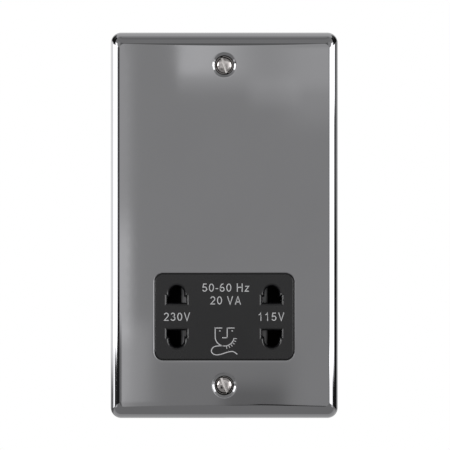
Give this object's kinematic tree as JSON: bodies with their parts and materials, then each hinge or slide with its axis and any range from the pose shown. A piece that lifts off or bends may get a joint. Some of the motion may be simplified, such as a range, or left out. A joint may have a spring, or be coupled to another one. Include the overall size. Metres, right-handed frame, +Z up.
{
  "type": "shaver socket",
  "caption": "Wall socket for two-pin shavers with two voltages: black-nickel plate, black face, shutters and an isolating transformer in a rear housing.",
  "frame": {"origin": "on the wall's surface, midway between the two fixing screws", "axes": "+X to the right as seen from the room, +Y into the wall, +Z up; the face looks along -Y"},
  "size_m": [0.086, 0.0407, 0.146],
  "materials": {
    "black_nickel": "polished black nickel plating on pressed steel",
    "bright_nickel": "polished nickel plating",
    "face_black": "satin moulded black",
    "liner_black": "moulded black",
    "carrier_black": "moulded black",
    "shutter_grey": "moulded dark grey",
    "gasket_foam": "closed-cell foam",
    "housing_white": "moulded off-white",
    "switch_case": "moulded black",
    "plunger_white": "moulded white",
    "contact_bronze": "rolled bronze strip",
    "terminal_brass": "turned and drilled brass",
    "tinned_metal": "tinned",
    "zinc_steel": "zinc plated steel",
    "spring_steel": "drawn spring wire",
    "core_steel": "stacked varnished electrical steel sheets",
    "bobbin_nylon": "moulded natural nylon",
    "winding_copper": "enamelled copper wire",
    "winding_tape": "polyester tape",
    "cutout_case": "lacquered case",
    "board_laminate": "glass laminate with lacquer",
    "lead_brown": "soft sleeve",
    "lead_white": "soft sleeve"
  },
  "bodies": {
    "base": {"front_plate": "black_nickel", "plate_liner": "liner_black", "wall_gasket": "gasket_foam", "fixing_screws": "bright_nickel", "socket_insert": "face_black", "shutter_spring_230": "spring_steel", "shutter_spring_115": "spring_steel", "contact_carrier": "carrier_black", "common_contact": "contact_bronze", "contact_230": "contact_bronze", "contact_115": "contact_bronze", "switch_body_230": "switch_case", "switch_body_115": "switch_case", "switch_pins": "tinned_metal", "circuit_board": "board_laminate", "carrier_screws": "zinc_steel", "terminal_block": "housing_white", "live_terminal": "terminal_brass", "neutral_terminal": "terminal_brass", "earth_terminal": "terminal_brass", "terminal_screws": "zinc_steel", "earth_strap": "tinned_metal", "e_core": "core_steel", "i_core": "core_steel", "bobbin": "bobbin_nylon", "bobbin_pins": "tinned_metal", "primary_winding": "winding_copper", "secondary_winding": "winding_copper", "winding_tapes": "winding_tape", "thermal_cutout": "cutout_case", "core_clamp": "zinc_steel", "clamp_screws": "zinc_steel", "primary_leads": "lead_brown", "secondary_leads": "lead_white", "rear_housing": "housing_white", "housing_screws": "zinc_steel"},
    "shutter_230_body": {"shutter_230": "shutter_grey"},
    "shutter_115_body": {"shutter_115": "shutter_grey"},
    "switch_plunger_230_body": {"switch_plunger_230": "plunger_white"},
    "switch_plunger_115_body": {"switch_plunger_115": "plunger_white"}
  },
  "joints": [
    {"name": "shutter_230_slide", "type": "slide", "parent": "base", "child": "shutter_230_body", "axis": [1, 0, 0], "range_m": [0, 0.007], "stiffness_N_per_m": 120, "springref_m": -0.004, "deforming": ["shutter_spring_230"]},
    {"name": "plunger_230_slide", "type": "slide", "parent": "base", "child": "switch_plunger_230_body", "axis": [0, 1, 0], "range_m": [0, 0.0012]},
    {"name": "shutter_115_slide", "type": "slide", "parent": "base", "child": "shutter_115_body", "axis": [-1, 0, 0], "range_m": [0, 0.007], "stiffness_N_per_m": 120, "springref_m": -0.004, "deforming": ["shutter_spring_115"]},
    {"name": "plunger_115_slide", "type": "slide", "parent": "base", "child": "switch_plunger_115_body", "axis": [0, 1, 0], "range_m": [0, 0.0012]}
  ],
  "couplings": [
    {"joint": "plunger_230_slide", "follows": "shutter_230_slide", "ratio": 0.16667},
    {"joint": "plunger_115_slide", "follows": "shutter_115_slide", "ratio": 0.16667}
  ]
}
